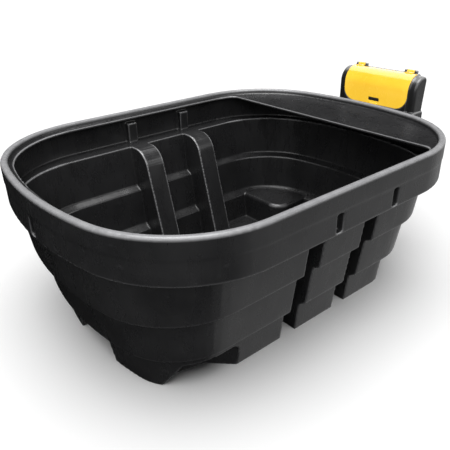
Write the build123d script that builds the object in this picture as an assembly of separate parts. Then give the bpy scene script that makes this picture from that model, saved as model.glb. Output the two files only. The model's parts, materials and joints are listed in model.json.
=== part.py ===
from build123d import *
import math
import os

# Oval livestock water trough with a hooded service box, float valve and drain.
# Units are millimetres. The origin is the centre of the tub on the floor, +Z is up
# and +X points along the length of the tub, towards the service box.

# ---- tub plan -------------------------------------------------------------------
HALF_LENGTH = 825.0
HALF_WIDTH = 633.0
CORNER_RADIUS = 420.0
END_RADIUS = 1435.0
# below the rim band the ends stand this much further out than the long sides
TIER_END_REACH = 50.0

# ---- tub heights and insets from the rim outline ----------------------------------
RIM_HEIGHT = 665.0
WALL = 8.0
BAND_BOTTOM = 510.0
BAND_SPLIT = 595.0
BAND_SET_BACK = 2.0
BAND_WALL = 10.0
TIER_TOPS = [(125.0, 185.0), (310.0, 130.0), (BAND_BOTTOM, 77.0)]
TIER_FEET = [(0.0, 200.0), (147.0, 154.0), (326.0, 100.0)]
LIP_UNDERSIDE = 630.0
LIP_TOP = 642.0
LIP_INSET = 45.0
RIM_INNER_INSET = 27.0
RIM_ROUND = 11.0
SHELF_EDGE_X = 512.0
SHELF_CORNER_RADIUS = 40.0

# ---- ribs, slots and foot arches ----------------------------------------------------
RIB_POSITIONS = [-91.0, 206.0]
CHANNEL_HALF_WIDTH = 38.0
RIB_TOP_INSET = 191.5
RIB_FOOT_INSET = 337.0
RIB_SHOULDER_RADIUS = 90.0
SLOT_HALF_WIDTH = 15.0
SLOT_BOTTOM = 518.0
SLOT_TOP = 584.0
SLOT_DEPTH = 26.0
INNER_BUMP_TOP = 608.0
# each arch profile: half widths at the foot and at the top on either side, then height
ARCH_ROUND = 30.0
END_ARCH = (132.0, 118.0, 118.0, 132.0, 110.0)
END_ARCH_INNER_X = 620.0
CORNER_ARCH = (140.0, 76.0, 132.0, 142.0, 100.0)
CORNER_ARCH_RADIAL = 135.0
CORNER_ARCH_ANGLE = 76.0
# the corner arch's back wall slants outwards from here to meet the long side
CORNER_ARCH_BEND = 30.0
CORNER_ARCH_SLANT = 30.0
# square-cornered recesses under the two corners beside the service box
RECESS_INNER_X = 478.0
RECESS_INNER_Y = 188.0
RECESS_HEIGHT = 134.0
RECESS_CORNER_RADIUS = 62.0
RECESS_TOP_ROUND = 14.0

# ---- service box and cover -----------------------------------------------------------
BOX_FRONT_X = 932.0
BOX_REAR_X = 1037.0
BOX_REAR_FOOT_X = 1013.0
BOX_TOP = 790.0
BOX_FRONT_ROUND = 75.0
BOX_REAR_ROUND = 30.0
BOX_HALF_WIDTH = 219.0
DECK_HALF_WIDTH = 227.0
DECK_TOP = 622.0
BOX_FOOT = 440.0
BOX_WALL = 6.0
CHEEK_DROP = 8.0
CHEEK_ROUND = 12.0
DECK_ROUND = 8.0
CHAMBER_FRONT_X = 770.0
CHAMBER_FLOOR_ROUND = 20.0
PORT_HALF_WIDTH = 140.0
PORT_BOTTOM = 532.0
PORT_TOP = 588.0
PORT_INNER_X = 700.0
PORT_OUTER_X = 850.0
GASKET_MARGIN = 12.0
COVER_HALF_WIDTH = 181.0
COVER_THICKNESS = 4.0
COVER_FOOT = 629.0
COVER_CORNER_RADIUS = 60.0
COVER_REAR_X = 1000.0
COVER_GAP = 1.0
REBATE_DEPTH = 5.0
SILL_HEIGHT = 636.0
HINGE_X = 1010.0
HINGE_Z = 797.5
KNUCKLE_RADIUS = 7.0
HINGE_PIN_RADIUS = 3.0
KNUCKLE_SPANS = [(-160.0, -120.0), (120.0, 160.0)]
KNUCKLE_GAP = 0.5
LUG_LENGTH = 12.0
LATCH_HALF_WIDTH = 30.0
LATCH_SLOT_BOTTOM = 645.0
LATCH_SLOT_TOP = 661.0
FIT = 0.05

# ---- housing fasteners -----------------------------------------------------------------
BOLT_PLACES = [(-190.0, 540.0), (-190.0, 598.0), (190.0, 540.0), (190.0, 598.0)]
BOLT_RADIUS = 4.0
BOLT_HOLE_RADIUS = 4.5
BOLT_HEAD_FLATS = 13.0
PAD_RADIUS = 14.0
PAD_INNER_X = 794.0
PAD_OUTER_X = 838.0

# ---- float valve: along Y, through the side wall of the service box ---------------------
VALVE_X = 962.0
VALVE_Z = 575.0
SHANK_RADIUS = 13.2
SHANK_HOLE_RADIUS = 13.6
SHANK_END = 262.0
VALVE_BODY_RADIUS = 15.0
VALVE_FLANGE = 210.0
VALVE_FRONT = 158.0
PISTON_RADIUS = 8.0
PISTON_FRONT = 136.0
PISTON_BACK = 185.0
SEAT = 195.0
PIVOT = 148.0
PIVOT_DROP = 9.0
LEVER_REST_TILT = 15.0
ARM_REST_ANGLE = 30.0
ARM_TO_FLOAT = 150.0
ROD_RADIUS = 3.0
FLOAT_RADIUS = 40.0
ELBOW = 285.0
INLET_DROP = 40.0

# ---- drain ------------------------------------------------------------------------------
DRAIN_X = 570.0
DRAIN_Z = 48.0
DRAIN_PAD_RADIUS = 36.0
DRAIN_PAD_INNER_Y = 174.0
DRAIN_PAD_OUTER_Y = 194.0
DRAIN_SHANK_RADIUS = 22.0
DRAIN_BORE_RADIUS = 17.0

os.makedirs("parts", exist_ok=True)


def save(name, shape):
    """Write one named piece."""
    export_step(shape, os.path.join("parts", name + ".step"))


def corner_centre(end_reach=0.0):
    """Centre of the corner arcs in the first quadrant."""
    rise = HALF_WIDTH - CORNER_RADIUS
    span = END_RADIUS - CORNER_RADIUS
    end_centre = HALF_LENGTH + end_reach - END_RADIUS
    return end_centre + math.sqrt(span**2 - rise**2), rise


def outline(inset, end_reach=0.0):
    """Plan of the tub: two straight sides, four corner arcs and two shallow end arcs."""
    cx, cy = corner_centre(end_reach)
    end_centre = HALF_LENGTH + end_reach - END_RADIUS
    turn = math.atan2(cy, cx - end_centre)
    corner = CORNER_RADIUS - inset
    middle = (turn + math.pi / 2) / 2
    side = (cx, HALF_WIDTH - inset)
    bend = (cx + corner * math.cos(middle), cy + corner * math.sin(middle))
    tangent = (cx + corner * math.cos(turn), cy + corner * math.sin(turn))
    tip = (HALF_LENGTH + end_reach - inset, 0.0)

    def flip(point, sx, sy):
        return (point[0] * sx, point[1] * sy)

    edges = [
        Line(flip(side, -1, 1), side),
        ThreePointArc(side, bend, tangent),
        ThreePointArc(tangent, tip, flip(tangent, 1, -1)),
        ThreePointArc(flip(tangent, 1, -1), flip(bend, 1, -1), flip(side, 1, -1)),
        Line(flip(side, 1, -1), flip(side, -1, -1)),
        ThreePointArc(flip(side, -1, -1), flip(bend, -1, -1), flip(tangent, -1, -1)),
        ThreePointArc(flip(tangent, -1, -1), flip(tip, -1, 1), flip(tangent, -1, 1)),
        ThreePointArc(flip(tangent, -1, 1), flip(bend, -1, 1), flip(side, -1, 1)),
    ]
    return make_face(Wire(edges))


def slab(z_low, z_high, inset, end_reach=0.0):
    """Vertical-walled slice of the tub."""
    return extrude(Pos(0, 0, z_low) * outline(inset, end_reach), z_high - z_low)


def taper(z_low, inset_low, z_high, inset_high, end_reach=TIER_END_REACH):
    """Sloping-walled slice of the tub."""
    low = Pos(0, 0, z_low) * outline(inset_low, end_reach)
    high = Pos(0, 0, z_high) * outline(inset_high, end_reach)
    return loft([low, high], ruled=True)


def box(x0, x1, y0, y1, z0, z1):
    """Axis-aligned block from its six faces."""
    centre = Pos((x0 + x1) / 2, (y0 + y1) / 2, (z0 + z1) / 2)
    return centre * Box(x1 - x0, y1 - y0, z1 - z0)


def rod_x(x0, x1, y, z, radius):
    """Cylinder along X."""
    return Pos((x0 + x1) / 2, y, z) * Rot(0, 90, 0) * Cylinder(radius, x1 - x0)


def rod_y(x, y0, y1, z, radius):
    """Cylinder along Y."""
    return Pos(x, (y0 + y1) / 2, z) * Rot(90, 0, 0) * Cylinder(radius, y1 - y0)


def rod_z(x, y, z0, z1, radius):
    """Cylinder along Z."""
    return Pos(x, y, (z0 + z1) / 2) * Cylinder(radius, z1 - z0)


def hexagon(flats):
    """Hexagonal face with the given width across flats."""
    return RegularPolygon(flats / math.sqrt(3), 6)


def hex_x(x0, x1, y, z, flats):
    """Hexagonal prism along X."""
    return Pos(x0, y, z) * Rot(0, 90, 0) * extrude(hexagon(flats), x1 - x0)


def hex_y(x, y0, y1, z, flats):
    """Hexagonal prism along Y."""
    return Pos(x, y1, z) * Rot(90, 0, 0) * extrude(hexagon(flats), y1 - y0)


def across(points, x_centre, half_width):
    """Prism of a (y, z) polygon, centred on x_centre and running along X."""
    face = make_face(Polyline([(0, y, z) for y, z in points], close=True))
    return Pos(x_centre - half_width, 0, 0) * extrude(face, 2 * half_width, dir=(1, 0, 0))


def tier_stack(wall):
    """Solid of the three tapering tiers, moved inwards and upwards by wall."""
    levels = []
    for (foot_z, foot_inset), (top_z, top_inset) in zip(TIER_FEET, TIER_TOPS):
        levels.append((foot_z + wall, foot_inset + wall))
        levels.append((top_z + wall, top_inset + wall))
    solid = None
    for (z_low, inset_low), (z_high, inset_high) in zip(levels, levels[1:]):
        piece = taper(z_low, inset_low, z_high, inset_high)
        solid = piece if solid is None else solid + piece
    return solid


def rib_prism(wall, half_width, side):
    """Buttress of a side channel, from outside the wall to the sloping face."""
    slope = (RIB_FOOT_INSET - RIB_TOP_INSET) / BAND_BOTTOM
    top_z = BAND_BOTTOM + wall
    top = RIB_TOP_INSET - WALL + wall
    foot = RIB_FOOT_INSET - WALL + wall + slope * 20
    radius = RIB_SHOULDER_RADIUS - WALL + wall
    start = (side * (HALF_WIDTH + 20), -20)
    points = [
        start,
        (side * (HALF_WIDTH + 20), top_z),
        (side * (HALF_WIDTH - top), top_z),
        (side * (HALF_WIDTH - foot), -20),
    ]
    prism = across(points, 0, half_width)
    shoulder = prism.edges().filter_by(Axis.X).sort_by(
        lambda e: abs(e.center().Y - points[2][0]) + abs(e.center().Z - top_z)
    )[0]
    return fillet(shoulder, radius)


def arch_prism(profile, near, far, grow=0.0):
    """Foot arch with its length along +X, from near to far, round-shouldered."""
    left_foot, left_top, right_top, right_foot, height = profile
    points = [
        (-left_foot - grow, -grow - ARCH_ROUND),
        (-left_foot - grow, -grow),
        (-left_top - grow, height + grow),
        (right_top + grow, height + grow),
        (right_foot + grow, -grow),
        (right_foot + grow, -grow - ARCH_ROUND),
    ]
    face = make_face(Polyline([(0, y, z) for y, z in points], close=True))
    prism = Pos(near - grow, 0, 0) * extrude(face, far - near + grow, dir=(1, 0, 0))
    top_edges = prism.edges().filter_by(Axis.X).group_by(Axis.Z)[-1]
    return fillet(top_edges, ARCH_ROUND)


def corner_recess(side, grow=0.0):
    """Recess under one corner beside the service box, open below and outwards."""
    near = RECESS_INNER_Y - grow
    low, high = sorted((side * near, side * 2 * HALF_WIDTH))
    cut = box(
        RECESS_INNER_X - grow, 2 * HALF_LENGTH, low, high, -RECESS_HEIGHT, RECESS_HEIGHT + grow
    )
    inner_edge = cut.edges().filter_by(Axis.Z).sort_by(
        lambda edge: edge.center().X + abs(edge.center().Y)
    )[0]
    cut = fillet(inner_edge, RECESS_CORNER_RADIUS + grow)
    roof = cut.edges().group_by(Axis.Z)[-1].sort_by(
        lambda edge: edge.center().X + abs(edge.center().Y)
    )[:3]
    return fillet(roof, RECESS_TOP_ROUND + grow / 2)


def corner_arch(grow=0.0):
    """Foot arch of the corner at -X and -Y. Its back wall slants out to the long side."""
    cut = arch_prism(CORNER_ARCH, CORNER_ARCH_RADIAL, CORNER_RADIUS, grow)
    kept = box(-CORNER_RADIUS, 0, 0, CORNER_RADIUS, -CORNER_RADIUS, CORNER_RADIUS)
    bend = Pos(CORNER_ARCH_RADIAL - grow, CORNER_ARCH_BEND, 0)
    cut -= bend * Rot(0, 0, -CORNER_ARCH_SLANT) * kept
    cx, cy = corner_centre(TIER_END_REACH)
    return Pos(-cx, -cy, 0) * Rot(0, 0, CORNER_ARCH_ANGLE - 180.0) * cut


def arches(grow=0.0):
    """Openings under the tub: an end arch and two corner arches, and two corner recesses."""
    end = arch_prism(END_ARCH, END_ARCH_INNER_X, HALF_LENGTH, grow)
    corner = corner_arch(grow)
    cuts = [Rot(0, 0, 180) * end, corner, mirror(corner, about=Plane.XZ)]
    for side in (-1, 1):
        cuts.append(corner_recess(side, grow))
    return cuts


def port_block(margin=0.0):
    """Block of the water port between the tub and the service box, with a margin round it."""
    edge = PORT_HALF_WIDTH + margin
    return box(
        PORT_INNER_X, PORT_OUTER_X, -edge, edge, PORT_BOTTOM - margin, PORT_TOP + margin
    )


def make_tub():
    """One moulded shell: stepped tub, overhanging band, rim, inner lip and end shelf."""
    outer = tier_stack(0.0)
    outer += slab(BAND_BOTTOM, BAND_SPLIT, BAND_SET_BACK)
    upper = slab(BAND_SPLIT, RIM_HEIGHT, 0.0)
    upper -= slab(LIP_TOP, RIM_HEIGHT + WALL, RIM_INNER_INSET)
    upper = fillet(upper.edges().group_by(Axis.Z)[-1], RIM_ROUND)
    outer += upper
    inner = tier_stack(WALL)
    inner += slab(BAND_BOTTOM + WALL, LIP_UNDERSIDE, BAND_SET_BACK + BAND_WALL - WALL / 4)
    lip = outline(LIP_INSET) & Pos(SHELF_EDGE_X - HALF_LENGTH, 0, 0) * Rectangle(
        2 * HALF_LENGTH, 3 * HALF_WIDTH
    )
    shelf_corners = lip.vertices().group_by(Axis.X)[-1]
    lip = fillet(shelf_corners, SHELF_CORNER_RADIUS)
    inner += extrude(Pos(0, 0, LIP_UNDERSIDE) * lip, LIP_TOP - LIP_UNDERSIDE)
    for centre in RIB_POSITIONS:
        for side in (-1, 1):
            outer -= Pos(centre, 0, 0) * rib_prism(0.0, CHANNEL_HALF_WIDTH, side)
            inner -= Pos(centre, 0, 0) * rib_prism(WALL, CHANNEL_HALF_WIDTH + WALL, side)
            far = side * (HALF_WIDTH + 10)
            near = side * (HALF_WIDTH - SLOT_DEPTH)
            bump = side * (HALF_WIDTH - SLOT_DEPTH - WALL)
            outer -= box(
                centre - SLOT_HALF_WIDTH, centre + SLOT_HALF_WIDTH,
                min(near, far), max(near, far), SLOT_BOTTOM, SLOT_TOP,
            )
            inner -= box(
                centre - SLOT_HALF_WIDTH - WALL, centre + SLOT_HALF_WIDTH + WALL,
                min(bump, far), max(bump, far), BAND_BOTTOM, INNER_BUMP_TOP,
            )
    outer -= box(
        -HALF_LENGTH - 10, -HALF_LENGTH + SLOT_DEPTH,
        -SLOT_HALF_WIDTH, SLOT_HALF_WIDTH, SLOT_BOTTOM, SLOT_TOP,
    )
    inner -= box(
        -HALF_LENGTH - 10, -HALF_LENGTH + SLOT_DEPTH + WALL,
        -SLOT_HALF_WIDTH - WALL, SLOT_HALF_WIDTH + WALL, BAND_BOTTOM, INNER_BUMP_TOP,
    )
    for cut in arches():
        outer -= cut
    for cut in arches(WALL):
        inner -= cut
    tub = outer - inner
    tub -= port_block()
    for y, z in BOLT_PLACES:
        pad = rod_x(PAD_INNER_X, PAD_OUTER_X, y, z, PAD_RADIUS)
        tub += pad & slab(BAND_BOTTOM, BAND_SPLIT + 30, BAND_SET_BACK)
        tub -= rod_x(PAD_INNER_X - 10, PAD_OUTER_X + 10, y, z, BOLT_HOLE_RADIUS)
    tub += rod_y(DRAIN_X, DRAIN_PAD_INNER_Y, DRAIN_PAD_OUTER_Y, DRAIN_Z, DRAIN_PAD_RADIUS)
    tub -= rod_y(
        DRAIN_X, DRAIN_PAD_INNER_Y - 20, DRAIN_PAD_OUTER_Y + 20, DRAIN_Z,
        DRAIN_SHANK_RADIUS + 0.4,
    )
    return tub


tub = make_tub()
save("tub_shell", tub)


# ---- service box and cover ----------------------------------------------------------
def hood_profile(foot=BOX_FOOT):
    """Side view of the service box: upright front, domed top and raked rear."""
    rear_arc_x = BOX_REAR_X - BOX_REAR_ROUND
    rear_arc_z = BOX_TOP - BOX_REAR_ROUND
    front_arc_z = BOX_TOP - BOX_FRONT_ROUND
    turn = math.sqrt(0.5)
    edges = [
        Line((BOX_FRONT_X, 0, foot), (BOX_FRONT_X, 0, front_arc_z)),
        ThreePointArc(
            (BOX_FRONT_X, 0, front_arc_z),
            (BOX_FRONT_X + BOX_FRONT_ROUND * (1 - turn), 0, front_arc_z + BOX_FRONT_ROUND * turn),
            (BOX_FRONT_X + BOX_FRONT_ROUND, 0, BOX_TOP),
        ),
        ThreePointArc(
            (rear_arc_x, 0, BOX_TOP),
            (rear_arc_x + BOX_REAR_ROUND * turn, 0, rear_arc_z + BOX_REAR_ROUND * turn),
            (BOX_REAR_X, 0, rear_arc_z),
        ),
        Line((BOX_REAR_X, 0, rear_arc_z), (BOX_REAR_FOOT_X, 0, foot)),
        Line((BOX_REAR_FOOT_X, 0, foot), (BOX_FRONT_X, 0, foot)),
    ]
    return make_face(Wire(edges))


def hood_prism(inset, half_width):
    """Hood profile moved inwards and run across the box."""
    face = hood_profile()
    if inset:
        face = offset(face, -inset)
    return Pos(0, half_width, 0) * extrude(face, 2 * half_width, dir=(0, -1, 0))


def front_window(half_width, foot, radius):
    """Prism along X of the cover's front view: straight sides and round lower corners."""
    top = BOX_TOP + 40
    block = box(BOX_FRONT_X - 30, BOX_REAR_X + 30, -half_width, half_width, foot, top)
    lower = block.edges().filter_by(Axis.X).group_by(Axis.Z)[0]
    return fillet(lower, radius)


def knuckle(y0, y1):
    """Hinge barrel between two widths."""
    return rod_y(HINGE_X, y0, y1, HINGE_Z, KNUCKLE_RADIUS)


def make_service_box():
    """Moulded box: water chamber hung on the band, with a hood, rebated opening and lugs."""
    cheeks = hood_prism(CHEEK_DROP, BOX_HALF_WIDTH)
    rims = [e for e in cheeks.edges() if abs(abs(e.center().Y) - BOX_HALF_WIDTH) < 1e-3]
    cheeks = fillet([e for e in rims if e.center().Z > BOX_FOOT + 2 * CHEEK_DROP], CHEEK_ROUND)
    hood = hood_prism(0, COVER_HALF_WIDTH + COVER_GAP) + cheeks
    chamber = box(
        CHAMBER_FRONT_X, BOX_REAR_FOOT_X, -DECK_HALF_WIDTH, DECK_HALF_WIDTH, BOX_FOOT, DECK_TOP
    )
    chamber = fillet(chamber.edges().filter_by(Axis.X).group_by(Axis.Z)[-1], DECK_ROUND)
    chamber = fillet(chamber.edges().filter_by(Axis.X).group_by(Axis.Z)[0], CHAMBER_FLOOR_ROUND)
    hollow = hood_prism(CHEEK_DROP + BOX_WALL, BOX_HALF_WIDTH - BOX_WALL)
    hollow -= box(
        CHAMBER_FRONT_X, BOX_REAR_X, -HALF_WIDTH, HALF_WIDTH, BOX_FOOT, DECK_TOP - 40
    )
    inside = box(
        CHAMBER_FRONT_X, BOX_REAR_FOOT_X - BOX_WALL, BOX_WALL - DECK_HALF_WIDTH, DECK_HALF_WIDTH - BOX_WALL,
        BOX_FOOT + BOX_WALL, DECK_TOP - BOX_WALL,
    )
    floor_edges = inside.edges().filter_by(Axis.X).group_by(Axis.Z)[0]
    inside = fillet(floor_edges, CHAMBER_FLOOR_ROUND - BOX_WALL)
    inside -= slab(BOX_FOOT - 20, RIM_HEIGHT, -BOX_WALL)
    shell = hood + chamber - hollow - inside
    for y, z in BOLT_PLACES:
        shell += rod_x(PAD_INNER_X, PAD_OUTER_X, y, z, PAD_RADIUS)
        shell -= rod_x(PAD_INNER_X - 10, PAD_OUTER_X + 10, y, z, BOLT_HOLE_RADIUS)
    shell -= slab(BOX_FOOT - 20, RIM_HEIGHT, 0.0)
    shell -= port_block()
    shell -= rod_y(VALVE_X, DECK_HALF_WIDTH - 20, DECK_HALF_WIDTH + 20, VALVE_Z, SHANK_HOLE_RADIUS)
    rebate_half_width = COVER_HALF_WIDTH + COVER_GAP
    rebate = hood_prism(0, rebate_half_width) - hood_prism(REBATE_DEPTH, rebate_half_width + 1)
    rebate &= front_window(
        rebate_half_width, COVER_FOOT - COVER_GAP, COVER_CORNER_RADIUS + COVER_GAP
    )
    rebate -= box(
        COVER_REAR_X + COVER_GAP, BOX_REAR_X + 40, -HALF_WIDTH, HALF_WIDTH, BOX_FOOT, BOX_TOP + 20
    )
    liner = hood_prism(REBATE_DEPTH, COVER_HALF_WIDTH + 3) - hood_prism(
        REBATE_DEPTH + BOX_WALL, COVER_HALF_WIDTH + 4
    )
    liner &= box(
        BOX_FRONT_X, COVER_REAR_X + 5, -HALF_WIDTH, HALF_WIDTH, DECK_TOP - 4, BOX_TOP
    )
    shell = shell - rebate + liner
    opening = front_window(COVER_HALF_WIDTH - 14, SILL_HEIGHT, COVER_CORNER_RADIUS - 12)
    opening &= box(
        BOX_FRONT_X - 5, COVER_REAR_X - 8, -HALF_WIDTH, HALF_WIDTH, DECK_TOP, BOX_TOP + 20
    )
    shell -= opening
    for low, high in KNUCKLE_SPANS:
        for y0, y1 in (
            (low - KNUCKLE_GAP - LUG_LENGTH, low - KNUCKLE_GAP),
            (high + KNUCKLE_GAP, high + KNUCKLE_GAP + LUG_LENGTH),
        ):
            lug = knuckle(y0, y1) + box(
                HINGE_X - KNUCKLE_RADIUS, HINGE_X + KNUCKLE_RADIUS, y0, y1, BOX_TOP - 4, HINGE_Z
            )
            shell += lug
            shell -= rod_y(HINGE_X, y0 - 1, y1 + 1, HINGE_Z, HINGE_PIN_RADIUS + FIT)
    return shell


def make_cover():
    """Curved cover with a latch slot, a finger tab and two hinge knuckles."""
    skin = hood_prism(0, COVER_HALF_WIDTH) - hood_prism(COVER_THICKNESS, COVER_HALF_WIDTH + 5)
    skin &= front_window(COVER_HALF_WIDTH, COVER_FOOT, COVER_CORNER_RADIUS)
    skin -= box(
        COVER_REAR_X, BOX_REAR_X + 40, -HALF_WIDTH, HALF_WIDTH, BOX_FOOT, BOX_TOP + 20
    )
    skin -= box(
        BOX_FRONT_X - 5, BOX_FRONT_X + 15, -LATCH_HALF_WIDTH, LATCH_HALF_WIDTH,
        LATCH_SLOT_BOTTOM, LATCH_SLOT_TOP,
    )
    tab = box(BOX_FRONT_X - 3, BOX_FRONT_X, -22, 22, COVER_FOOT - 4, COVER_FOOT + 8)
    skin += fillet(tab.edges().filter_by(Axis.X), 3.0)
    for y0, y1 in KNUCKLE_SPANS:
        skin += box(COVER_REAR_X - 14, COVER_REAR_X, y0, y1, BOX_TOP - 2, BOX_TOP + 4)
        skin += box(COVER_REAR_X - 5, HINGE_X, y0, y1, BOX_TOP + 0.5, BOX_TOP + 4)
        skin += knuckle(y0, y1)
        skin -= rod_y(HINGE_X, y0 - 1, y1 + 1, HINGE_Z, HINGE_PIN_RADIUS + FIT)
    return skin


def make_latch():
    """Sliding latch: thumb piece in the cover's slot, plate and hook behind it."""
    face = BOX_FRONT_X + COVER_THICKNESS
    thumb = box(
        BOX_FRONT_X + 1.5, face + 0.4, 0.5 - LATCH_HALF_WIDTH, LATCH_HALF_WIDTH - 0.5,
        LATCH_SLOT_TOP - 8, LATCH_SLOT_TOP - 0.5,
    )
    plate = box(
        face + 0.3, face + 3.3, -LATCH_HALF_WIDTH - 5, LATCH_HALF_WIDTH + 5,
        LATCH_SLOT_BOTTOM + 1, LATCH_SLOT_TOP + 8,
    )
    bridge = box(face + 3, face + 15, -18, 18, LATCH_SLOT_BOTTOM + 1, LATCH_SLOT_BOTTOM + 7)
    hook = box(face + 12, face + 15, -18, 18, SILL_HEIGHT + 1, LATCH_SLOT_BOTTOM + 7)
    return thumb + plate + bridge + hook


cover = make_cover()
latch = make_latch()
service_box = make_service_box()
save("service_box", service_box)
save("service_cover", cover)
save("cover_latch", latch)
pins = []
for low, high in KNUCKLE_SPANS:
    reach = KNUCKLE_GAP + LUG_LENGTH
    pin = rod_y(HINGE_X, low - reach - 1, high + reach + 1, HINGE_Z, HINGE_PIN_RADIUS)
    pin += rod_y(HINGE_X, low - reach - 3, low - reach - 1, HINGE_Z, HINGE_PIN_RADIUS + 2)
    pins.append(pin)
save("cover_hinge_pins", Compound(children=pins))

# ---- housing fasteners and gasket ------------------------------------------------------
gasket = slab(PORT_BOTTOM - GASKET_MARGIN, BAND_SPLIT, 0.0)
gasket -= slab(PORT_BOTTOM - 30, BAND_SPLIT + 5, BAND_SET_BACK)
gasket &= port_block(GASKET_MARGIN)
gasket -= port_block()
save("box_gasket", gasket)

bolts = []
washers = []
nuts = []
for y, z in BOLT_PLACES:
    for x0 in (PAD_OUTER_X, PAD_INNER_X - 1.6):
        ring = rod_x(x0, x0 + 1.6, y, z, 9.0)
        washers.append(ring - rod_x(x0 - 1, x0 + 3, y, z, BOLT_RADIUS + 0.2))
    bolt = rod_x(PAD_INNER_X - 12, PAD_OUTER_X + 1.6, y, z, BOLT_RADIUS)
    bolt += hex_x(PAD_OUTER_X + 1.6, PAD_OUTER_X + 6.9, y, z, BOLT_HEAD_FLATS)
    bolts.append(bolt)
    nut = hex_x(PAD_INNER_X - 8.4, PAD_INNER_X - 1.6, y, z, BOLT_HEAD_FLATS)
    nuts.append(nut - rod_x(PAD_INNER_X - 12, PAD_INNER_X, y, z, BOLT_RADIUS + FIT))
save("housing_bolts", Compound(children=bolts))
save("housing_washers", Compound(children=washers))
save("housing_nuts", Compound(children=nuts))

# ---- float valve ----------------------------------------------------------------------
# The valve is drawn along +X about its own axis, then turned to lie along +Y.
valve_place = Pos(VALVE_X, 0, VALVE_Z) * Rot(0, 0, 90)


def swing(shape):
    """Lower a piece of the float arm from level to the empty-trough stop."""
    return Pos(PIVOT, 0, -PIVOT_DROP) * Rot(0, -ARM_REST_ANGLE, 0) * shape


def washer_x(x0, x1, outer, inner):
    """Flat ring along X."""
    return rod_x(x0, x1, 0, 0, outer) - rod_x(x0 - 1, x1 + 1, 0, 0, inner)


wall_in = DECK_HALF_WIDTH - BOX_WALL
wall_out = DECK_HALF_WIDTH
valve = rod_x(VALVE_FRONT, VALVE_FLANGE, 0, 0, VALVE_BODY_RADIUS)
valve += hex_x(VALVE_FLANGE, wall_in - 3, 0, 0, 40.0)
valve += rod_x(wall_in - 3, SHANK_END, 0, 0, SHANK_RADIUS)
for side in (-1, 1):
    low = min(side * 9.0, side * 13.0)
    lug = box(
        PIVOT - 10, VALVE_FRONT + 4, low, low + 4, -PIVOT_DROP - 8, -PIVOT_DROP + 10
    )
    valve += fillet(lug.edges().filter_by(Axis.Y).group_by(Axis.X)[0], 6.0)
valve -= rod_x(VALVE_FRONT - 5, SEAT, 0, 0, PISTON_RADIUS + FIT)
valve -= rod_x(SEAT, SEAT + 7, 0, 0, 8.0)
valve -= rod_x(SEAT + 7, SHANK_END + 5, 0, 0, 7.0)
valve -= rod_z(SEAT - 4, 0, -20, 0, 4.0)
valve -= box(PIVOT - 12, VALVE_FRONT + 6, -3.9, 3.9, -PIVOT_DROP - 12, 0)
valve -= rod_y(PIVOT, -20, 20, -PIVOT_DROP, 2.5 + FIT)
save("valve_body", valve_place * valve)
inner_ring = washer_x(wall_in - 3, wall_in, 22.0, SHANK_RADIUS + 0.1)
save("valve_inner_washer", valve_place * inner_ring)
outer_ring = washer_x(wall_out, wall_out + 3, 22.0, SHANK_RADIUS + 0.1)
save("valve_outer_washer", valve_place * outer_ring)
locknut = hex_x(wall_out + 3, wall_out + 12, 0, 0, 41.0)
locknut -= rod_x(wall_out, wall_out + 14, 0, 0, SHANK_RADIUS + FIT)
save("valve_locknut", valve_place * locknut)
save("valve_seat", valve_place * washer_x(SEAT, SEAT + 7, 8.0, 3.0))

nose_x = PIVOT - PIVOT_DROP * math.sin(math.radians(LEVER_REST_TILT))
piston = rod_x(PISTON_FRONT, PISTON_BACK, 0, 0, PISTON_RADIUS)
piston -= box(PISTON_FRONT - 1, VALVE_FRONT - 1.5, -3.7, 3.7, -10, -1.5)
piston -= box(PISTON_FRONT - 1, VALVE_FRONT - 1.5, -9, 9, -10, 3 - PIVOT_DROP)
piston -= box(nose_x - 3.4, nose_x + 3.4, -3.7, 3.7, -10, 4.5)
save("valve_piston", valve_place * piston)
save("piston_seal", valve_place * rod_x(PISTON_BACK, PISTON_BACK + 4, 0, 0, 6.5))

# the arm is drawn level, with its pivot at the origin and the float towards -X
nose_angle = math.radians(ARM_REST_ANGLE - LEVER_REST_TILT)
tip_x = PIVOT_DROP * math.sin(nose_angle)
tip_z = PIVOT_DROP * math.cos(nose_angle)
lever = rod_y(0, -3.4, 3.4, 0, 6.4)
lever += rod_y(tip_x, -3.4, 3.4, tip_z, 3.0)
lever += Rot(0, math.degrees(nose_angle), 0) * box(-2.4, 2.4, -3.4, 3.4, 0, PIVOT_DROP - 1)
lever += box(-26, 0, -3.4, 3.4, -5, 5)
lever += rod_x(-56, -24, 0, 0, 6.5)
lever += rod_z(-46, 0, 0, 8, 4.5)
lever -= rod_y(0, -10, 10, 0, 2.5 + FIT)
lever -= rod_x(-60, -28, 0, 0, ROD_RADIUS + FIT)
lever -= rod_z(-46, 0, ROD_RADIUS - 1, 10, 2.0 + FIT)
save("float_lever", valve_place * swing(lever))

pivot_pin = rod_y(PIVOT, -14, 14, -PIVOT_DROP, 2.5)
pivot_pin += rod_y(PIVOT, -16, -13, -PIVOT_DROP, 4.0)
save("lever_pin", valve_place * pivot_pin)

arm_rod = rod_x(-ARM_TO_FLOAT - FLOAT_RADIUS - 9, -28, 0, 0, ROD_RADIUS)
save("float_rod", valve_place * swing(arm_rod))

screw = rod_z(-46, 0, ROD_RADIUS, 11, 2.0)
wing = box(-54, -38, -1.5, 1.5, 10, 19)
screw += fillet(wing.edges().filter_by(Axis.Y), 4.0)
save("rod_screw", valve_place * swing(screw))

ball = Pos(-ARM_TO_FLOAT, 0, 0) * Sphere(FLOAT_RADIUS)
ball_near = FLOAT_RADIUS + 2 - ARM_TO_FLOAT
ball_far = -FLOAT_RADIUS - 2 - ARM_TO_FLOAT
ball += rod_x(ball_far, ball_near, 0, 0, 9.0)
ball += rod_y(-ARM_TO_FLOAT, -1.5, 1.5, 0, FLOAT_RADIUS + 1.5)
ball -= rod_x(ball_far - 5, ball_near + 5, 0, 0, ROD_RADIUS + 0.02)
save("ball_float", valve_place * swing(ball))

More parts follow.
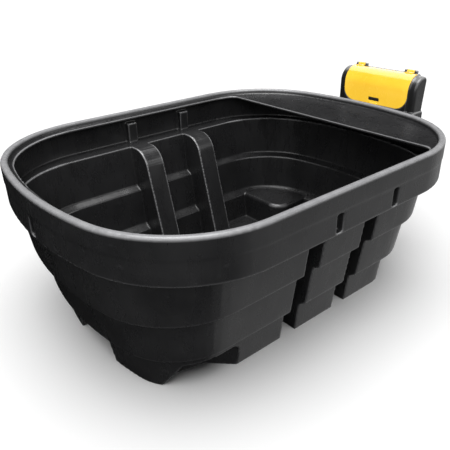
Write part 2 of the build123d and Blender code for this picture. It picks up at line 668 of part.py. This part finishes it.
stops = []
for x0 in (ball_far - 5, ball_near):
    stop = hex_x(x0, x0 + 5, 0, 0, 10.0)
    stops.append(stop - rod_x(x0 - 1, x0 + 6, 0, 0, ROD_RADIUS + 0.02))
save("float_nuts", valve_place * swing(Compound(children=stops)))

elbow = rod_x(SHANK_END - 14, ELBOW, 0, 0, 18.0)
elbow += Pos(ELBOW, 0, 0) * Sphere(18.0)
elbow += rod_z(ELBOW, 0, 18 - INLET_DROP, 0, 18.0)
elbow += Pos(ELBOW, 0, 18 - INLET_DROP) * extrude(hexagon(34.0), 8.0)
elbow += rod_z(ELBOW, 0, -INLET_DROP, 20 - INLET_DROP, SHANK_RADIUS)
elbow -= rod_x(SHANK_END - 20, SHANK_END + 2, 0, 0, SHANK_RADIUS + FIT)
elbow -= rod_x(SHANK_END - 2, ELBOW, 0, 0, 9.0)
elbow -= Pos(ELBOW, 0, 0) * Sphere(9.0)
elbow -= rod_z(ELBOW, 0, -INLET_DROP - 5, 0, 9.0)
save("inlet_elbow", valve_place * elbow)
save("elbow_seal", valve_place * washer_x(SHANK_END, SHANK_END + 2, SHANK_RADIUS, 8.0))

# ---- drain --------------------------------------------------------------------------------
gasket_y = DRAIN_PAD_INNER_Y - 3
flange_y = gasket_y - 5
shank_y = DRAIN_PAD_OUTER_Y + 24
seal_y = shank_y + 0.3
head_y = shank_y + 3
bush = rod_y(DRAIN_X, flange_y, gasket_y, DRAIN_Z, 34.0)
bush += rod_y(DRAIN_X, gasket_y, shank_y, DRAIN_Z, DRAIN_SHANK_RADIUS)
bush -= rod_y(DRAIN_X, flange_y - 2, shank_y + 2, DRAIN_Z, DRAIN_BORE_RADIUS)
save("drain_bush", bush)
gasket = rod_y(DRAIN_X, gasket_y, DRAIN_PAD_INNER_Y, DRAIN_Z, 34.0)
gasket -= rod_y(DRAIN_X, gasket_y - 1, DRAIN_PAD_INNER_Y + 1, DRAIN_Z, DRAIN_SHANK_RADIUS + 0.1)
save("drain_gasket", gasket)
locknut = hex_y(DRAIN_X, DRAIN_PAD_OUTER_Y, DRAIN_PAD_OUTER_Y + 12, DRAIN_Z, 60.0)
locknut -= rod_y(
    DRAIN_X, DRAIN_PAD_OUTER_Y - 1, DRAIN_PAD_OUTER_Y + 13, DRAIN_Z, DRAIN_SHANK_RADIUS + FIT
)
save("drain_locknut", locknut)
plug = rod_y(DRAIN_X, DRAIN_PAD_OUTER_Y + 6, head_y, DRAIN_Z, DRAIN_BORE_RADIUS - FIT)
plug += rod_y(DRAIN_X, head_y, head_y + 8, DRAIN_Z, 25.0)
plug += hex_y(DRAIN_X, head_y + 8, head_y + 22, DRAIN_Z, 27.0)
save("drain_plug", plug)
seal = rod_y(DRAIN_X, seal_y, seal_y + 2.4, DRAIN_Z, 24.0)
seal -= rod_y(DRAIN_X, seal_y - 1, seal_y + 4, DRAIN_Z, DRAIN_BORE_RADIUS)
save("plug_seal", seal)
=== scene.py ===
import json
import math

import bpy
from mathutils import Matrix, Vector

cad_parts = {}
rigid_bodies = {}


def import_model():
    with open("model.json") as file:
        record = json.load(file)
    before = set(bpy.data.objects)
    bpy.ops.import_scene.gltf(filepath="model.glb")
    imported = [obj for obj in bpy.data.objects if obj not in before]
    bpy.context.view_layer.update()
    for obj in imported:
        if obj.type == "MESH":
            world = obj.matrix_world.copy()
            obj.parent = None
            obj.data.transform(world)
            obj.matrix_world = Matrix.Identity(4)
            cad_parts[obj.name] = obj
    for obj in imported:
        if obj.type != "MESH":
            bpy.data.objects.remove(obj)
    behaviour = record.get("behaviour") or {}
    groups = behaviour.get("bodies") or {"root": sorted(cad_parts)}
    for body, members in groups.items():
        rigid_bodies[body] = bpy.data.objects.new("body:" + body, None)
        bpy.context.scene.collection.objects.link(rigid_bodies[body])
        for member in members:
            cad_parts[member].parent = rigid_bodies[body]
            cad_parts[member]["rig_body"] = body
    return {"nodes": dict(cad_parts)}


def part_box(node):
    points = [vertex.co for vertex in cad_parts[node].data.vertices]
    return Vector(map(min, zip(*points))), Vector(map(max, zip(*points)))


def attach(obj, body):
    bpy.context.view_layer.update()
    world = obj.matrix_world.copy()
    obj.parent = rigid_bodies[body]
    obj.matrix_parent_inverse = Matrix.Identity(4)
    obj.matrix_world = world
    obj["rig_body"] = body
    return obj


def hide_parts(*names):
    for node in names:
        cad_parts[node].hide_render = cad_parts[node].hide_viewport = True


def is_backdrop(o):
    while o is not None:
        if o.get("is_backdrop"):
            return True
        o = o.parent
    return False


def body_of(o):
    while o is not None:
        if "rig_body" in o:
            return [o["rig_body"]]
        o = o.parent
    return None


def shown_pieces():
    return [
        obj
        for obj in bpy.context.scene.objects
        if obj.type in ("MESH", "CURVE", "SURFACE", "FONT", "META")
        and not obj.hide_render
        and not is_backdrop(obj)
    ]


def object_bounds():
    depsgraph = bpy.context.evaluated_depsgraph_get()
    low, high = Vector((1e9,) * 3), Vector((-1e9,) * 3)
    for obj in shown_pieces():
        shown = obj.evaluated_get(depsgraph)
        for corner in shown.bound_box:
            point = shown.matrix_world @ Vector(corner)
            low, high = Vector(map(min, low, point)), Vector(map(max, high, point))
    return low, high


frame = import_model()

# Looks of the oval livestock water trough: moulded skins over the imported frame,
# procedural materials, and a plain studio. Units are metres.

cad_low, cad_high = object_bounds()
RIM_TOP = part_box("tub_shell")[1].z
BOX_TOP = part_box("service_box")[1].z

# ---- painted highlight: heights between which the lighter top of a moulding fades in ---
RIM_HIGHLIGHT_HEIGHTS = (RIM_TOP - 0.014, RIM_TOP - 0.001)
BOX_HIGHLIGHT_HEIGHTS = (BOX_TOP - 0.004, BOX_TOP + 0.03)

# ---- colours of the black and the yellow mouldings ------------------------------------
BLACK_DARK = (0.0085, 0.0085, 0.009)
BLACK_LIGHT = (0.014, 0.014, 0.0145)
SCUFF_GREY = (0.030, 0.030, 0.031)
# Painted highlight: the light grey on the top of a moulding.
TOP_HIGHLIGHT_GREY = (0.18, 0.18, 0.185)
# Painted highlight: the light grey on outer edges.
EDGE_HIGHLIGHT_GREY = (0.21, 0.21, 0.215)
YELLOW_DARK = (0.91, 0.54, 0.035)
YELLOW_LIGHT = (0.96, 0.60, 0.050)

# ---- moulded skins: node, name of the piece, voxel, softening passes, most triangles -----
TUB_SKIN = ("tub_shell", "moulded_tub", 0.004, 5, 190000)
BOX_SKIN = ("service_box", "moulded_box", 0.0025, 5, 120000)
COVER_SKIN = ("service_cover", "moulded_cover", 0.0013, 5, 60000)

WELD_DISTANCE = 0.00001

# ---- soft lights: name, direction it comes from, angle it spans in degrees, radiance ------
TOP_SOFT = ("top_soft", (-0.05, 0.05, 1.0), 46.0, 12.5)
FRONT_FILL = ("front_fill", (-0.15, -1.0, 0.85), 60.0, 2.6)
COVER_FILL = ("cover_fill", (-1.0, -0.45, 0.85), 40.0, 12.0)
BACK_SHEEN = ("back_sheen", (0.45, 0.10, 0.90), 96.0, 4.2)
LEFT_FILL = ("left_fill", (-1.0, -0.25, 0.75), 50.0, 2.8)
RIGHT_FILL = ("right_fill", (0.75, -0.8, 0.35), 36.0, 1.6)
GROUND_BOUNCE = ("ground_bounce", (0.90, -0.38, -0.38), 92.0, 0.48)
GROUND_SOFT = ("ground_soft", (-0.1, -0.1, 1.0), 70.0, 4.1)

# ---- floor ---------------------------------------------------------------------------
FLOOR_HALF = 150.0
FLOOR_DROP = 0.0005

# ---- camera --------------------------------------------------------------------------
SENSOR_WIDTH = 36.0
LENS = 41.652
CAMERA_PLACE = (-1.2813, -1.5090, 1.2937)
CAMERA_RIGHT = (0.76547, -0.64325, -0.01723)
CAMERA_UP = (0.30659, 0.34105, 0.88864)


# ---- node helpers --------------------------------------------------------------------
def new_material(name):
    """An empty node material with its Principled shader."""
    material = bpy.data.materials.new(name)
    material.use_nodes = True
    tree = material.node_tree
    shader = tree.nodes["Principled BSDF"]
    return material, tree, shader


def object_place(tree, scale=(1.0, 1.0, 1.0)):
    """Object coordinates, stretched by a scale along each axis."""
    place = tree.nodes.new("ShaderNodeTexCoord")
    mapping = tree.nodes.new("ShaderNodeMapping")
    mapping.inputs["Scale"].default_value = scale
    tree.links.new(place.outputs["Object"], mapping.inputs["Vector"])
    return mapping.outputs["Vector"]


def noise(tree, vector, scale, detail=3.0, roughness=0.5):
    """Cloudy pattern from 0 to 1."""
    node = tree.nodes.new("ShaderNodeTexNoise")
    node.inputs["Scale"].default_value = scale
    node.inputs["Detail"].default_value = detail
    node.inputs["Roughness"].default_value = roughness
    tree.links.new(vector, node.inputs["Vector"])
    return node.outputs["Fac"]


def remap(tree, value, low, high, out_low, out_high):
    """A value stretched from one range to another, and held inside it."""
    node = tree.nodes.new("ShaderNodeMapRange")
    node.inputs["From Min"].default_value = low
    node.inputs["From Max"].default_value = high
    node.inputs["To Min"].default_value = out_low
    node.inputs["To Max"].default_value = out_high
    tree.links.new(value, node.inputs["Value"])
    return node.outputs["Result"]


def ramp(tree, value, stops):
    """A colour ramp through (position, colour) stops."""
    node = tree.nodes.new("ShaderNodeValToRGB")
    ends = node.color_ramp.elements
    while len(ends) < len(stops):
        ends.new(0.5)
    for element, (position, colour) in zip(ends, stops):
        element.position = position
        element.color = (*colour, 1.0)
    tree.links.new(value, node.inputs["Fac"])
    return node.outputs["Color"]


def bump(tree, height, distance, strength, under=None):
    """Surface relief from a height pattern."""
    node = tree.nodes.new("ShaderNodeBump")
    node.inputs["Distance"].default_value = distance
    node.inputs["Strength"].default_value = strength
    tree.links.new(height, node.inputs["Height"])
    if under is not None:
        tree.links.new(under, node.inputs["Normal"])
    return node.outputs["Normal"]


def mix_colour(tree, share, first, second):
    """Two colours mixed by a share from 0 to 1. The second is a fixed colour."""
    node = tree.nodes.new("ShaderNodeMix")
    node.data_type = "RGBA"
    tree.links.new(share, node.inputs["Factor"])
    tree.links.new(first, node.inputs["A"])
    node.inputs["B"].default_value = (*second, 1.0)
    return node.outputs["Result"]


def product(tree, first, second):
    """Two values multiplied."""
    node = tree.nodes.new("ShaderNodeMath")
    node.operation = "MULTIPLY"
    tree.links.new(first, node.inputs[0])
    tree.links.new(second, node.inputs[1])
    return node.outputs["Value"]


def height_share(tree, low, high):
    """From 0 at one height to 1 at another."""
    split = tree.nodes.new("ShaderNodeSeparateXYZ")
    tree.links.new(object_place(tree), split.inputs["Vector"])
    return remap(tree, split.outputs["Z"], low, high, 0.0, 1.0)


# ---- materials -----------------------------------------------------------------------
def moulded_black(name, highlight_from, highlight_to):
    """Satin black polyethylene with scuffs, streaks, a fine skin, and a painted highlight on its
    top and on its outer edges.
    """
    material, tree, shader = new_material(name)
    place = object_place(tree)
    cloud = noise(tree, place, 6.0, 4.0, 0.6)
    colour = ramp(tree, cloud, [(0.3, BLACK_DARK), (0.7, BLACK_LIGHT)])
    scratches = noise(tree, object_place(tree, (1.0, 1.0, 3.5)), 16.0, 8.0, 0.72)
    scuffs = remap(tree, scratches, 0.60, 0.74, 0.0, 0.6)
    colour = mix_colour(tree, scuffs, colour, SCUFF_GREY)
    patches = remap(tree, noise(tree, place, 26.0, 5.0, 0.6), 0.35, 0.65, 0.80, 1.0)
    # Painted highlight: the moulding turns light grey above a given height, mottled.
    top_highlight = product(tree, height_share(tree, highlight_from, highlight_to), patches)
    colour = mix_colour(tree, top_highlight, colour, TOP_HIGHLIGHT_GREY)
    # Painted highlight on outer corners, strongest where they face up.
    surface = tree.nodes.new("ShaderNodeNewGeometry")
    facing = tree.nodes.new("ShaderNodeSeparateXYZ")
    tree.links.new(surface.outputs["Normal"], facing.inputs["Vector"])
    upward = remap(tree, facing.outputs["Z"], -0.10, 0.45, 0.2, 1.0)
    corners = remap(tree, surface.outputs["Pointiness"], 0.510, 0.540, 0.0, 0.9)
    edge_highlight = product(tree, product(tree, corners, upward), patches)
    colour = mix_colour(tree, edge_highlight, colour, EDGE_HIGHLIGHT_GREY)
    tree.links.new(colour, shader.inputs["Base Color"])
    streaks = noise(tree, object_place(tree, (1.0, 1.0, 0.25)), 22.0, 5.0, 0.65)
    tree.links.new(remap(tree, streaks, 0.3, 0.7, 0.22, 0.36), shader.inputs["Roughness"])
    shader.inputs["Specular IOR Level"].default_value = 0.38
    skin = bump(tree, noise(tree, place, 900.0, 2.0), 0.0002, 0.08)
    waves = bump(tree, noise(tree, place, 9.0, 2.0), 0.004, 0.10, skin)
    tree.links.new(waves, shader.inputs["Normal"])
    return material


def cover_yellow():
    """Gloss yellow moulding with slight sinks."""
    material, tree, shader = new_material("look_cover_yellow")
    place = object_place(tree)
    cloud = noise(tree, place, 9.0, 3.0)
    colour = ramp(tree, cloud, [(0.3, YELLOW_DARK), (0.7, YELLOW_LIGHT)])
    tree.links.new(colour, shader.inputs["Base Color"])
    rough = remap(tree, noise(tree, place, 40.0, 4.0), 0.3, 0.7, 0.20, 0.30)
    tree.links.new(rough, shader.inputs["Roughness"])
    sinks = bump(tree, noise(tree, place, 14.0, 2.0), 0.002, 0.08)
    tree.links.new(sinks, shader.inputs["Normal"])
    shader.inputs["Coat Weight"].default_value = 0.3
    shader.inputs["Coat Roughness"].default_value = 0.12
    return material


def metal(name, low, high, roughness, stretch, grain):
    """Bare or plated metal with a drawn or cast grain."""
    material, tree, shader = new_material(name)
    place = object_place(tree, stretch)
    cloud = noise(tree, place, grain, 5.0, 0.6)
    tree.links.new(ramp(tree, cloud, [(0.25, low), (0.75, high)]), shader.inputs["Base Color"])
    rough = remap(tree, cloud, 0.25, 0.75, *roughness)
    tree.links.new(rough, shader.inputs["Roughness"])
    tree.links.new(bump(tree, cloud, 0.0004, 0.15), shader.inputs["Normal"])
    shader.inputs["Metallic"].default_value = 1.0
    return material


def plastic(name, low, high, roughness, grain, relief=0.1):
    """Small moulded or rubber part with a fine grain."""
    material, tree, shader = new_material(name)
    cloud = noise(tree, object_place(tree), grain, 4.0)
    tree.links.new(ramp(tree, cloud, [(0.3, low), (0.7, high)]), shader.inputs["Base Color"])
    tree.links.new(remap(tree, cloud, 0.3, 0.7, *roughness), shader.inputs["Roughness"])
    tree.links.new(bump(tree, cloud, 0.0004, relief), shader.inputs["Normal"])
    return material


def make_materials():
    """One material for each finish in the record."""
    return {
        "moulded_black": moulded_black("look_moulded_black", *BOX_HIGHLIGHT_HEIGHTS),
        "cover_yellow": cover_yellow(),
        "zinc_steel": metal(
            "look_zinc_steel", (0.52, 0.53, 0.55), (0.68, 0.69, 0.70), (0.25, 0.42),
            (1.0, 1.0, 1.0), 160.0,
        ),
        "valve_brass": metal(
            "look_valve_brass", (0.60, 0.40, 0.16), (0.78, 0.58, 0.28), (0.28, 0.45),
            (1.0, 1.0, 1.0), 120.0,
        ),
        "black_rubber": plastic(
            "look_black_rubber", (0.012, 0.012, 0.012), (0.024, 0.024, 0.024), (0.6, 0.8), 300.0,
        ),
        "nylon_white": plastic(
            "look_nylon_white", (0.76, 0.75, 0.70), (0.85, 0.84, 0.80), (0.32, 0.45), 120.0,
        ),
        "float_orange": plastic(
            "look_float_orange", (0.72, 0.14, 0.02), (0.85, 0.20, 0.04), (0.28, 0.42), 60.0,
        ),
        "fitting_dark": plastic(
            "look_fitting_dark", (0.020, 0.020, 0.022), (0.034, 0.034, 0.036), (0.35, 0.5), 200.0,
        ),
    }


# ---- moulded skins -------------------------------------------------------------------
def apply_modifiers(piece):
    """Replace the mesh with its finished form, so that no modifier is left."""
    depsgraph = bpy.context.evaluated_depsgraph_get()
    finished = bpy.data.meshes.new_from_object(piece.evaluated_get(depsgraph))
    piece.modifiers.clear()
    piece.data = finished


def moulded_skin(node, name, voxel, passes, most_triangles):
    """Copy of a CAD node with the softened edges and even skin of a moulding."""
    source = frame["nodes"][node]
    piece = bpy.data.objects.new(name, source.data.copy())
    bpy.context.scene.collection.objects.link(piece)
    weld = piece.modifiers.new("weld", "WELD")
    weld.merge_threshold = WELD_DISTANCE
    remesh = piece.modifiers.new("remesh", "REMESH")
    remesh.mode = "VOXEL"
    remesh.voxel_size = voxel
    remesh.use_smooth_shade = True
    soften = piece.modifiers.new("soften", "SMOOTH")
    soften.factor = 0.5
    soften.iterations = passes
    apply_modifiers(piece)
    triangles = 2 * len(piece.data.polygons)
    if triangles > most_triangles:
        thin = piece.modifiers.new("thin", "DECIMATE")
        thin.ratio = most_triangles / triangles
        apply_modifiers(piece)
    piece.data.shade_smooth()
    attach(piece, body_of(source)[0])
    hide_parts(node)
    return piece


def dress(piece, material):
    """Give a new piece a look."""
    piece.data.materials.clear()
    piece.data.materials.append(material)


def dress_nodes(materials):
    """Give every CAD node the finished material in place of its plain one."""
    for node in frame["nodes"].values():
        for slot in node.material_slots:
            name = slot.material.name.split(".")[0]
            if name in materials:
                slot.material = materials[name]


# ---- studio --------------------------------------------------------------------------
def make_floor():
    """Large pale floor."""
    mesh = bpy.data.meshes.new("floor")
    half = FLOOR_HALF
    corners = [(-half, -half, 0.0), (half, -half, 0.0), (half, half, 0.0), (-half, half, 0.0)]
    mesh.from_pydata(corners, [], [(0, 1, 2, 3)])
    floor = bpy.data.objects.new("floor", mesh)
    bpy.context.scene.collection.objects.link(floor)
    floor.location.z = cad_low.z - FLOOR_DROP
    material, tree, shader = new_material("studio_floor")
    cloud = noise(tree, object_place(tree), 0.7, 2.0)
    colour = ramp(tree, cloud, [(0.3, (0.84, 0.84, 0.84)), (0.7, (0.86, 0.86, 0.86))])
    tree.links.new(colour, shader.inputs["Base Color"])
    shader.inputs["Roughness"].default_value = 0.9
    shader.inputs["Specular IOR Level"].default_value = 0.1
    mesh.materials.append(material)
    # The black walls mirror the darker surround, and the light from below gets through.
    floor.visible_glossy = False
    floor.visible_shadow = False
    floor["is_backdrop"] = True
    return floor


def add_sun(name, direction, angle, radiance, receivers):
    """Wide soft light from a direction, as bright as a softbox of that angle and radiance."""
    lamp = bpy.data.lights.new(name, "SUN")
    lamp.angle = math.radians(angle)
    lamp.energy = math.pi * radiance * math.sin(lamp.angle / 2) ** 2
    light = bpy.data.objects.new(name, lamp)
    light.rotation_mode = "QUATERNION"
    light.rotation_quaternion = Vector(direction).to_track_quat("Z", "Y")
    bpy.context.scene.collection.objects.link(light)
    light.light_linking.receiver_collection = receivers
    return light


def lit_group(name, objects):
    """Collection that names what a light falls on."""
    group = bpy.data.collections.new(name)
    for item in objects:
        group.objects.link(item)
    return group


def make_lights(floor, box, cover):
    """Soft lights for the trough, its service box and the floor, and a surround."""
    trough = lit_group("lit_trough", [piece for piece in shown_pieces() if piece is not cover])
    ground = lit_group("lit_ground", [floor])
    add_sun(*TOP_SOFT, trough)
    add_sun(*FRONT_FILL, trough)
    add_sun(*COVER_FILL, lit_group("lit_cover", [cover]))
    sheen = add_sun(*BACK_SHEEN, lit_group("lit_box", [box, cover]))
    sheen.visible_diffuse = False
    add_sun(*LEFT_FILL, trough)
    add_sun(*RIGHT_FILL, trough)
    add_sun(*GROUND_BOUNCE, trough)
    add_sun(*GROUND_SOFT, ground)
    world = bpy.data.worlds.new("surround")
    world.use_nodes = True
    tree = world.node_tree
    background = tree.nodes["Background"]
    direction = tree.nodes.new("ShaderNodeTexCoord")
    split = tree.nodes.new("ShaderNodeSeparateXYZ")
    tree.links.new(direction.outputs["Generated"], split.inputs["Vector"])
    glow = remap(tree, split.outputs["Z"], 0.10, 0.90, 0.08, 0.50)
    tree.links.new(glow, background.inputs["Strength"])
    bpy.context.scene.world = world


def make_camera():
    """Camera at its place, turned to its right and up directions."""
    data = bpy.data.cameras.new("camera")
    data.sensor_width = SENSOR_WIDTH
    data.lens = LENS
    data.clip_start = 0.05
    data.clip_end = 200.0
    camera = bpy.data.objects.new("camera", data)
    bpy.context.scene.collection.objects.link(camera)
    right = Vector(CAMERA_RIGHT)
    up = Vector(CAMERA_UP)
    back = right.cross(up)
    turn = Matrix((right, up, back)).transposed().to_4x4()
    camera.matrix_world = Matrix.Translation(CAMERA_PLACE) @ turn
    bpy.context.scene.camera = camera


# ---- everything together -------------------------------------------------------------
materials = make_materials()
dress_nodes(materials)
tub = moulded_skin(*TUB_SKIN)
dress(tub, moulded_black("look_tub_black", *RIM_HIGHLIGHT_HEIGHTS))
box = moulded_skin(*BOX_SKIN)
dress(box, materials["moulded_black"])
cover = moulded_skin(*COVER_SKIN)
cover.visible_glossy = False  # no yellow mirrored in the black end shelf
dress(cover, materials["cover_yellow"])
make_lights(make_floor(), box, cover)
make_camera()
bpy.context.scene.view_settings.view_transform = "Standard"
